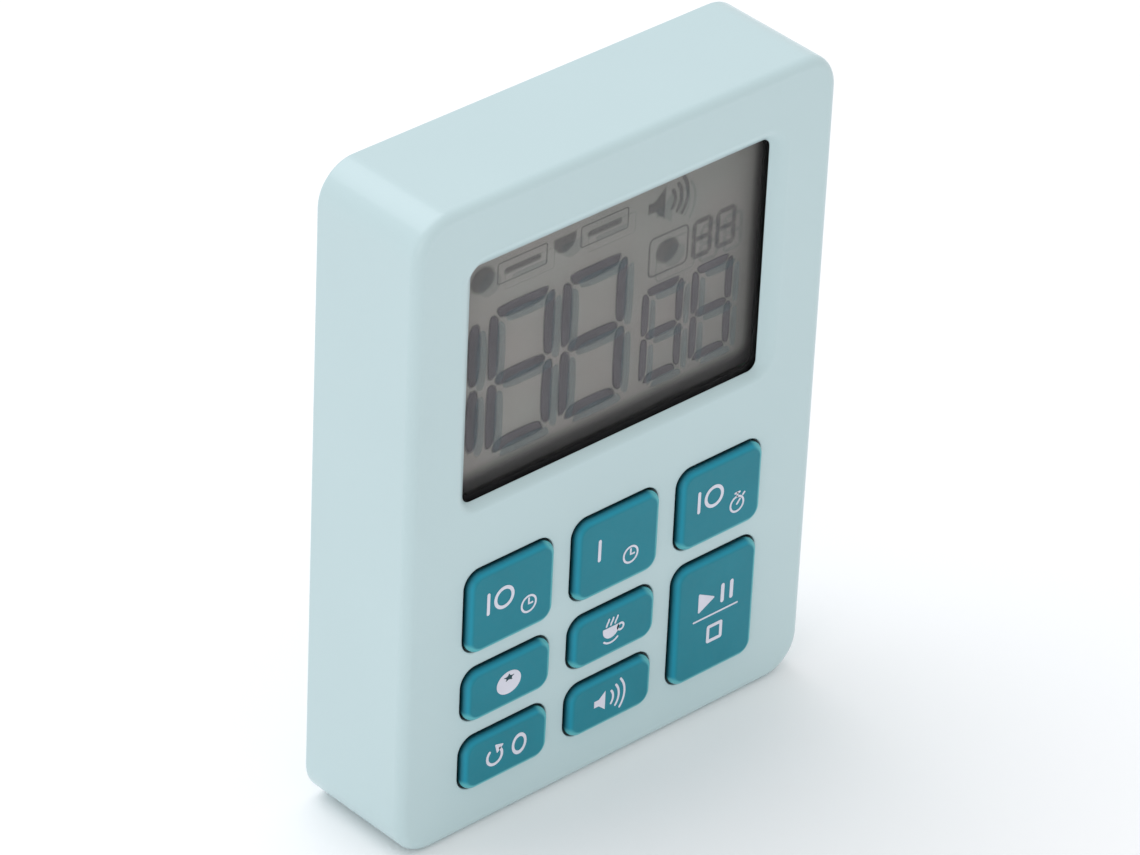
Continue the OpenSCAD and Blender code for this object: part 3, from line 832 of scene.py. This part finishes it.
def second_mark(ink, x):
    """A small stopwatch: seconds."""
    z = -2.0
    ink.ring_mark(x, z, 1.15, FINE_PEN)
    ink.line([(x, z), (x + 0.5, z + 0.6)], FINE_PEN)
    ink.line([(x, z + 1.2), (x, z + 1.7)], FINE_PEN)
    ink.line([(x - 0.4, z + 1.75), (x + 0.4, z + 1.75)], FINE_PEN)
    ink.line([(x + 1.0, z + 1.1), (x + 1.25, z + 1.35)], FINE_PEN)


def tomato_mark(ink):
    """A tomato with a star of leaves in the key's rubber, as dark as down in its gap."""
    x, z = -0.15, 0.05
    ink.fill(oval(x, z, 2.05, 1.72))
    ink.slot = 1
    points = [
        (x + r * cos(radians(a)), z + 0.75 + 0.62 * r * sin(radians(a)))
        for i, a in enumerate(range(90, 450, 36))
        for r in [1.05 if i % 2 == 0 else 0.42]
    ]
    ink.fill(smoothed(points, 1), lift=0.01)
    ink.slot = 0


def cup_mark(ink):
    """A cup on its saucer, with steam over it."""
    bowl = [(-2.1, 0.85), *arc(-0.7, 0.55, 1.4, 180, 360), (0.7, 0.85)]
    ink.fill(bowl)
    ink.ring_mark(1.0, 0.25, 0.5, FINE_PEN)
    ink.line(arc(-0.65, 0.15, 1.75, 228, 312, 10), 0.28)
    for x in (-1.5, -0.75, 0.0):
        ink.line([(x, 1.2), (x + 0.12, 1.55), (x + 0.3, 1.8), (x + 0.42, 2.15)], 0.28)


def start_stop_mark(ink):
    """A triangle and two bars over a line, and a square under it."""
    top, low = 2.85, -2.85
    ink.fill(smoothed([(-3.2, top - 1.6), (-0.2, top), (-3.2, top + 1.6)], 2, 0.06))
    for x in (1.1, 2.7):
        ink.line([(x, top - 1.2), (x, top + 1.2)], 0.6)
    ink.line([(-3.9, 0.15), (3.9, 0.15)], 0.26)
    box = (-1.4, 1.4, low - 1.4, low + 1.4)
    ink.fill(rounded(box, 0.35), rounded(box, 0.35, -0.5))


def clear_mark(ink):
    """An arrow that turns back, and a nought."""
    x, z, r = -2.1, 0.0, 1.25
    ink.line(arc(x, z, r, 45, -225, 28), 0.42)
    end = Vector((x + r * cos(radians(45)), z + r * sin(radians(45))))
    ahead = Vector((-sin(radians(45)), cos(radians(45))))
    side = Vector((ahead.y, -ahead.x))
    tip = [end + side * 0.8 - ahead * 0.1, end + ahead * 1.25, end - side * 0.8 - ahead * 0.1]
    ink.fill(smoothed([(p.x, p.y) for p in tip], 1, 0.08))
    ink.ring_mark(2.1, z + 0.1, 1.05, 0.42, 1.3)


def volume_mark(ink):
    """A speaker with three waves."""
    x, z = -1.9, 0.15
    horn = [
        (x - 1.1, z - 0.5), (x - 0.3, z - 0.5), (x + 0.8, z - 1.45), (x + 0.8, z + 1.45),
        (x - 0.3, z + 0.5), (x - 1.1, z + 0.5)
    ]
    ink.fill(horn)
    for r in (1.1, 2.1, 3.1):
        ink.line(arc(x + 0.6, z, r + 0.5, -38, 38, 12), 0.34)


def build_marks():
    """The ink on each key, which rides on the key's body."""
    marks = {
        "ten_minutes": lambda ink: (number_mark(ink, -4.18, 2), minute_mark(ink, 2.72)),
        "one_minute": lambda ink: (number_mark(ink, -3.4, 1), minute_mark(ink, 2.1)),
        "ten_seconds": lambda ink: (number_mark(ink, -4.18, 2), second_mark(ink, 2.7)),
        "tomato": tomato_mark,
        "cup": cup_mark,
        "clear": clear_mark,
        "volume": volume_mark,
        "start_stop": start_stop_mark,
    }
    for name, draw in marks.items():
        ink = Print(KEY_BOXES[name])
        draw(ink)
        ink.make(name + "_mark", [key_ink, key_rubber], name + "_key", smooth=30)


# ---------------------------------------------------------------------------------------
# Display
# ---------------------------------------------------------------------------------------
MARK_THICK = 0.03
CELL_NEAR = depths("lcd_rear_glass")[0] - 0.38
CELL_FAR = CELL_NEAR + MARK_THICK
SHADOW_NEAR = depths("rear_polariser")[0] - 0.05
SHADOW_FAR = SHADOW_NEAR + MARK_THICK

# How far all the marks lie from their drawn places, and the tinted ones from their painted
# shadows
MARKS_X = 0.62
MARKS_Z = -0.6
SHADOW_X = 0.3
SHADOW_Z = -0.25

# A digit's width and height, and the thickness of its bars and of its posts
BIG_DIGIT = (10.6, 21.2, 1.6, 1.35)
BIG_BLUR = 0.5
MIDDLE_DIGIT = (6.8, 14.0, 1.1, 0.9)
MIDDLE_BLUR = 0.38


def digit(x, z, w, h, bar_t, post_t):
    """The seven segments of a digit whose lower left corner is at x, z.

    Its bars are bar_t thick and its posts post_t.
    """
    mid = z + h / 2
    top = z + h

    def lying(outer, inner):
        """A bar at the top or bottom, shorter on its inner side."""
        knee = outer + (inner - outer) * 0.3
        long_in, knee_in, short_in = 1.02 * post_t, 0.92 * post_t, 1.5 * post_t
        return [
            (x + long_in, outer), (x + w - long_in, outer), (x + w - knee_in, knee),
            (x + w - short_in, inner), (x + short_in, inner), (x + knee_in, knee),
        ]

    def standing(side, start, end):
        """A post at one side, from its point near the middle bar to its outer end."""
        outer = x if side < 0 else x + w
        inward = -side * post_t
        along = bar_t if end > start else -bar_t
        return [
            (outer, start + 0.25 * along), (outer + 0.4 * inward, start - 0.02 * along),
            (outer + inward, start + 0.42 * along), (outer + inward, end - 0.62 * along),
            (outer + 0.42 * inward, end + 0.05 * along), (outer, end - 0.12 * along),
        ]

    point_in, full_in, half = 0.88 * post_t, 1.42 * post_t, bar_t / 2
    middle_bar = [
        (x + point_in, mid), (x + full_in, mid - half), (x + w - full_in, mid - half),
        (x + w - point_in, mid), (x + w - full_in, mid + half), (x + full_in, mid + half),
    ]
    posts = [
        standing(side, mid + up * 0.34 * bar_t, mid + up * (h / 2 - 0.64 * bar_t))
        for side in (-1, 1)
        for up in (-1, 1)
    ]
    return [lying(z, z + bar_t), lying(top, top - bar_t), middle_bar, *posts]


def small_digit(x, z, w, h, pen):
    """The seven strokes of a small digit."""
    gap = pen * 0.75
    mid = z + h / 2
    lying = [[(x + gap, level), (x + w - gap, level)] for level in (z, mid, z + h)]
    standing = [
        [(side, low + gap), (side, low + h / 2 - gap)] for side in (x, x + w) for low in (z, mid)
    ]
    return [stroke(path, pen, 3) for path in lying + standing]


def build_window_layers():
    """The tape that holds the lens, the mask round the display and the reflector behind it."""
    tape = Shape()
    inner_edge = rounded(OPENING, OPENING_R, 0.05, 12)
    tape.slab(rounded(LENS, SEAT_R, 0, 12), LENS_SEAT, LENS_FRONT, inner_edge)
    tape.make("tape_ring", [black_tape], "case", "black_tape", ["lens_tape"])
    mask = Shape()
    near, far = depths("display_gasket")
    mask.slab(
        rounded(span("display_gasket"), SEAT_R, 0, 12), near, far, rounded(MASK, MASK_R, 0, 12)
    )
    mask.make("display_mask", [black_foam], "case", "black_foam", ["display_gasket"])
    backing = Shape()
    box = span("rear_polariser", 0.5)
    near, far = depths("rear_polariser")
    backing.slab(rounded(box, 0.3, 0, 3), near + 0.02, far)
    backing.make("display_backing", [reflector], "case", "reflector", ["rear_polariser"])


def build_segments():
    """The display's tinted marks between its glasses, with painted shadows on the reflector."""
    cells = Shape()
    shadows = Shape()

    def lit(outline, blur):
        """A mark with a soft painted shadow, and a crisper tint in front of it."""
        crisp = [(x + MARKS_X + SHADOW_X, z + MARKS_Z + SHADOW_Z) for x, z in outline]
        cells.faded_slab(crisp, CELL_NEAR, CELL_FAR, 0.4 * blur)
        soft = [(x + MARKS_X, z + MARKS_Z) for x, z in outline]
        shadows.faded_slab(soft, SHADOW_NEAR, SHADOW_FAR, blur)

    def frame_mark(box, r, pen):
        """A thin frame, drawn as four strokes with round corners."""
        path = rounded(box, r, 0, 4)
        count = len(path) // 4
        for i in range(4):
            piece = path[i * count:(i + 1) * count] + [path[((i + 1) * count) % len(path)]]
            lit(stroke(piece, pen, 3), 1.6 * pen)

    for x in (-19.95, -7.75):
        for shape in digit(x + 0.1, 54.65, *BIG_DIGIT):
            lit(smoothed(shape), BIG_BLUR)
    for low in (56.4, 66.1):
        lit(smoothed([(-23.2, low), (-21.6, low), (-21.6, low + 8.5), (-23.2, low + 8.5)]), 0.56)
    for x in (6.05, 14.65):
        for shape in digit(x + 0.1, 54.5, *MIDDLE_DIGIT):
            lit(smoothed(shape), MIDDLE_BLUR)

    cells.slot = 1
    shadows.slot = 1
    for x in (14.5, 18.6):
        for shape in small_digit(x, 70.3, 2.8, 5.1, 0.5):
            lit(shape, 0.32)
    frame_mark((6.8, 13.4, 70.2, 75.8), 0.8, 0.13)
    lit(oval(9.9, 73.2, 1.7, 1.5, 24), 0.6)
    lit(oval(-21.4, 81.0, 1.7, 1.6, 24), 0.6)
    lit([(-9.5, 82.0), *arc(-7.8, 81.6, 1.7, 180, 360, 12), (-6.1, 82.0)], 0.45)
    frame_mark((-18.9, -10.8, 79.3, 82.3), 0.3, 0.09)
    frame_mark((-5.1, 2.8, 79.3, 82.3), 0.3, 0.09)
    for x0, x1 in ((-17.4, -12.2), (-3.6, 1.3)):
        lit(stroke([(x0, 80.8), (x1, 80.8)], 0.5), 0.45)
    horn = [(6.4, 79.9), (7.4, 79.9), (9.0, 78.4), (9.0, 82.6), (7.4, 81.1), (6.4, 81.1)]
    lit(horn, 0.4)
    for r in (1.8, 2.9, 4.0):
        lit(stroke(arc(8.6, 80.5, r + 0.4, -36, 36, 10), 0.36, 3), 0.26)
    cells.make("display_segments", [crystal_tint, crystal_faint], "case", smooth=30)
    shadows.make("display_shadows", [shadow_tint, shadow_faint], "case", smooth=30)


# ---------------------------------------------------------------------------------------
# Pieces that keep their CAD outline and gain soft edges
# ---------------------------------------------------------------------------------------
def softened(node, made, body, edge, sharp=SHARP_ANGLE):
    """A copy of a CAD node with its flat faces joined and its edges rounded."""
    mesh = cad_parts[node].data.copy()
    mesh.materials.clear()
    for layer in list(mesh.uv_layers):
        mesh.uv_layers.remove(layer)
    work = bmesh.new()
    work.from_mesh(mesh)
    bmesh.ops.remove_doubles(work, verts=work.verts, dist=0.002 * MM)
    bmesh.ops.dissolve_limit(
        work, angle_limit=radians(0.5), verts=work.verts, edges=work.edges
    )
    work.to_mesh(mesh)
    work.free()
    mesh.polygons.foreach_set("material_index", [0] * len(mesh.polygons))
    piece = finish_piece(mesh, node + "_body", [made], body, [node], sharp)
    if edge:
        bevel = piece.modifiers.new("soft_edges", "BEVEL")
        bevel.width = edge * MM
        bevel.segments = 2
        bevel.limit_method = "ANGLE"
        bevel.angle_limit = radians(sharp)
        bevel.harden_normals = True
    return piece


def dress(node, made):
    """Gives a CAD node its finish."""
    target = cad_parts[node]
    for held in target.material_slots:
        held.material = made
    if not target.material_slots:
        target.data.materials.append(made)


def build_cell(node, plus_side):
    """An AAA cell: wrap, band, crimped ends and terminal, turned along X."""
    band_start = 0.7
    box = span(node)
    low, high = depths(node)
    r = (high - low) / 2
    centre_depth = (high + low) / 2
    centre_z = (box[2] + box[3]) / 2
    length = box[1] - box[0]
    body_len = length - 1.0
    shape = Shape()

    def turn(profile):
        """Turns a profile of (along, radius) points round the cell's own axis."""
        steps = 48
        rings = []
        for along, radius in profile:
            first = len(shape.points)
            x = box[0] + along if plus_side > 0 else box[1] - along
            for i in range(steps):
                a = 2 * pi * i / steps
                shape.points.append(
                    (x, centre_depth + radius * sin(a), centre_z + radius * cos(a))
                )
                shape.soft.append(1.0)
            rings.append(list(range(first, first + steps)))
        shape.loft(rings)
        shape.face(rings[0])
        shape.face(rings[-1])

    turn([(0.25, r - 0.9), (0.25, r - 0.35), (0.35, r - 0.12), (0.6, r - 0.02), (0.8, r),
          (body_len * band_start, r)])
    shape.slot = 1
    turn([(body_len * band_start, r), (body_len - 0.7, r), (body_len - 0.35, r - 0.05),
          (body_len - 0.15, r - 0.3), (body_len - 0.15, r - 1.1)])
    shape.slot = 2
    turn([(0, r - 1.6), (0, r - 1.3), (0.25, r - 0.9), (0.3, 0.4)])
    turn([(body_len - 0.3, r - 1.0), (body_len - 0.05, r - 1.4), (body_len - 0.05, 2.3),
          (body_len + 0.1, 1.95), (length - 0.25, 1.9), (length - 0.05, 1.75),
          (length, 1.5)])
    shape.make(
        node + "_cell", [cell_wrap, cell_band, contact_nickel], "case", "cell_wrap", [node], 35
    )


def build_inside():
    """The works: edges softened where they show, or the CAD's own pieces with a finish."""
    for node, made, edge in (
        ("display_clamp", clamp_plastic, 0.15),
        ("circuit_board", board_laminate, 0.06),
        ("chip_capacitors", capacitor_ceramic, 0.08),
        ("chip_resistors", resistor_black, 0.06),
        ("zebra_connector", zebra_rubber, 0.1),
        ("keypad_web", web_rubber, 0.12),
    ):
        softened(node, made, "case", edge)
    for node, made in (
        ("board_screws", screw_steel),
        ("case_screws", screw_steel),
        ("positive_contact", contact_nickel),
        ("negative_contact", contact_nickel),
        ("link_contact", contact_nickel),
    ):
        softened(node, made, "case", 0.08, 58)
    for node, made in (
        ("battery_wire_red", wire_red),
        ("battery_wire_black", wire_black),
        ("buzzer_wires", wire_red),
    ):
        softened(node, made, "case", 0, 60)
    for node, made in (
        ("display_lens", clear_window),
        ("front_polariser", polariser),
        ("lcd_front_glass", display_glass),
        ("lcd_rear_glass", display_glass),
        ("chip_blob", black_resin),
        ("crystal_can", tin_plate),
        ("buzzer_disc", buzzer_brass),
        ("buzzer_ceramic", buzzer_white),
    ):
        dress(node, made)
    for name in KEY_NAMES:
        dress("pill_" + name, carbon_rubber)
    build_cell("battery_upper", 1)
    build_cell("battery_lower", -1)


# ---------------------------------------------------------------------------------------
# Floor, light and camera
# ---------------------------------------------------------------------------------------
def build_floor():
    """A wide pale floor, a hair under the case."""
    mesh = bpy.data.meshes.new("floor")
    reach, drop = 6.0, 0.03 * MM
    corners = [(-reach, -reach), (reach, -reach), (reach, reach), (-reach, reach)]
    mesh.from_pydata([(x, y, -drop) for x, y in corners], [], [(0, 1, 2, 3)])
    floor = bpy.data.objects.new("floor", mesh)
    bpy.context.scene.collection.objects.link(floor)
    mesh.materials.append(moulded("floor", linear(252, 253, 254), 0.8, 300, 0.004, 4, 0.0))


def area_light(name, place, target, size, watts, colour=(1, 1, 1)):
    """A round soft light, sized in metres, that points at the target."""
    lamp = bpy.data.lights.new(name, "AREA")
    lamp.color = colour
    lamp.shape = "DISK"
    lamp.size = size
    lamp.energy = watts
    holder = bpy.data.objects.new(name, lamp)
    holder.location = place
    holder.rotation_mode = "QUATERNION"
    holder.rotation_quaternion = (Vector(target) - Vector(place)).to_track_quat("-Z", "Y")
    bpy.context.scene.collection.objects.link(holder)


def build_light():
    """A bright even studio, with a little more from the side and from above."""
    world = bpy.data.worlds.new("studio")
    world.use_nodes = True
    background = world.node_tree.nodes["Background"]
    background.inputs["Color"].default_value = (1, 1, 1, 1)
    background.inputs["Strength"].default_value = 0.78
    scene = bpy.context.scene
    scene.world = world
    scene.view_settings.view_transform = "Standard"
    scene.cycles.transparent_max_bounces = 32
    middle_of_case = (0, 0, 0.05)
    area_light("side_light", (-0.98, -0.66, 0.35), middle_of_case, 0.8, 1.2)
    area_light("top_light", (-0.15, 0.5, 1.1), middle_of_case, 1.4, 6.2, (0.96, 0.98, 1.04))


def build_camera():
    """The photograph's view: a long lens from the upper left, rolled a little."""
    azimuth, elevation, roll = radians(-43.65), radians(33.30), radians(2.70)
    aim = Vector((-0.28, 0, 47.92)) * MM
    distance = 823.45 * MM
    forward = Vector(
        (-sin(azimuth) * cos(elevation), cos(azimuth) * cos(elevation), -sin(elevation))
    )
    level = Vector((cos(azimuth), sin(azimuth), 0))
    upright = level.cross(forward)
    right = level * cos(roll) + upright * sin(roll)
    up = upright * cos(roll) - level * sin(roll)
    camera = bpy.data.cameras.new("camera")
    camera.lens = 204.56
    camera.sensor_width = 36
    camera.clip_start = 0.05
    camera.clip_end = 20
    holder = bpy.data.objects.new("camera", camera)
    turn = Matrix((right, up, -forward)).transposed()
    holder.matrix_world = Matrix.Translation(aim - forward * distance) @ turn.to_4x4()
    bpy.context.scene.collection.objects.link(holder)
    bpy.context.scene.camera = holder


build_camera()
build_case()
for key_name, key_box in KEY_BOXES.items():
    build_key(key_name, key_box)
    build_skirt(key_name, key_box)
build_marks()
build_window_layers()
build_segments()
softened("rear_cover", cover_plastic, "case", 0.18)
softened("battery_door", door_plastic, "battery_door", 0.2)
build_inside()
build_floor()
build_light()
